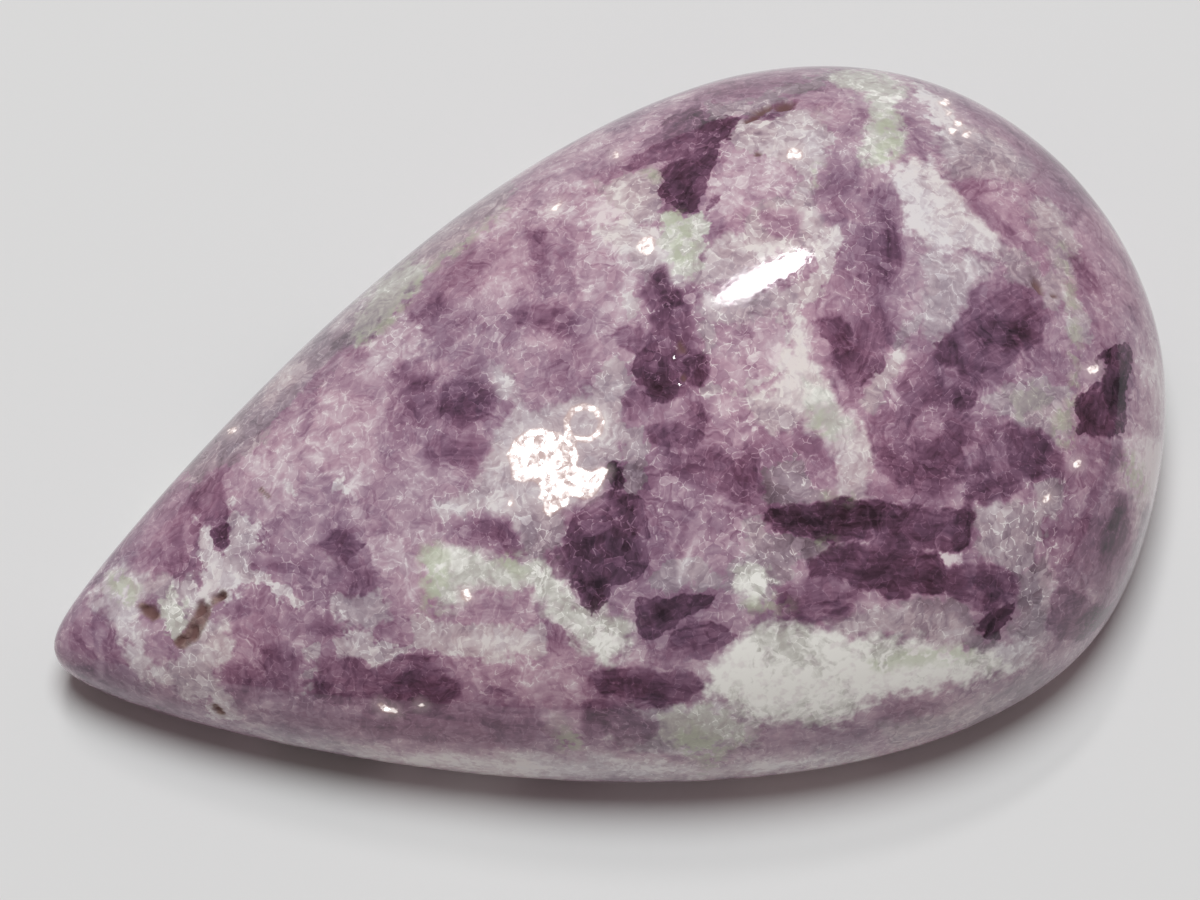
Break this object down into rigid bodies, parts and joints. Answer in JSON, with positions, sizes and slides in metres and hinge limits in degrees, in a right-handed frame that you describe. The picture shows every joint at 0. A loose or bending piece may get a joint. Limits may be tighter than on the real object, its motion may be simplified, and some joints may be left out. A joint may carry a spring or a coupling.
{
  "type": "polished lepidolite drop",
  "caption": "Pear-shaped drop of polished lilac mica stone with a high dome, a blunt tip and a flat back to lie on or be set by.",
  "frame": {"origin": "under the middle of the drop, on the plane of its flat back", "axes": "+X from the tip to the round end, +Y across the drop, +Z out of the dome"},
  "size_m": [0.045, 0.0278, 0.0125],
  "materials": {
    "lepidolite": "polished"
  },
  "bodies": {
    "root": {"lepidolite_drop": "lepidolite"}
  },
  "joints": []
}
